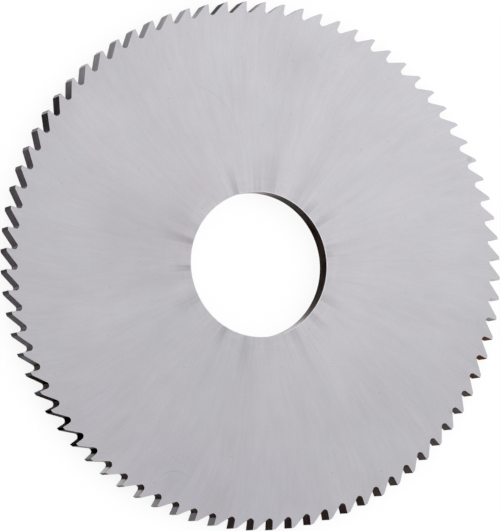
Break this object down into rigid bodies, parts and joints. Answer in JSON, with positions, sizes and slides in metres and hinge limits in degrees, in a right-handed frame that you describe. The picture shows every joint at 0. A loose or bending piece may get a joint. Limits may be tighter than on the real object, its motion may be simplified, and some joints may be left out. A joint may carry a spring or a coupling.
{
  "type": "slitting saw",
  "caption": "Flat round metal slitting saw: a thin ground steel disc with fine raked teeth and a plain arbor bore, for cutting narrow slots and parting off.",
  "frame": {"origin": "on the arbor axis, in the plane of the lower rim that the saw lies on", "axes": "+Z along the arbor axis and up; +X through one tooth tip; seen from +Z the teeth point clockwise"},
  "size_m": [0.08, 0.08, 0.003],
  "materials": {
    "ground_steel": "bright high-speed steel with fine radial grinding lines on the sides and darker tooth faces"
  },
  "bodies": {
    "root": {"slitting_saw": "ground_steel"}
  },
  "joints": []
}
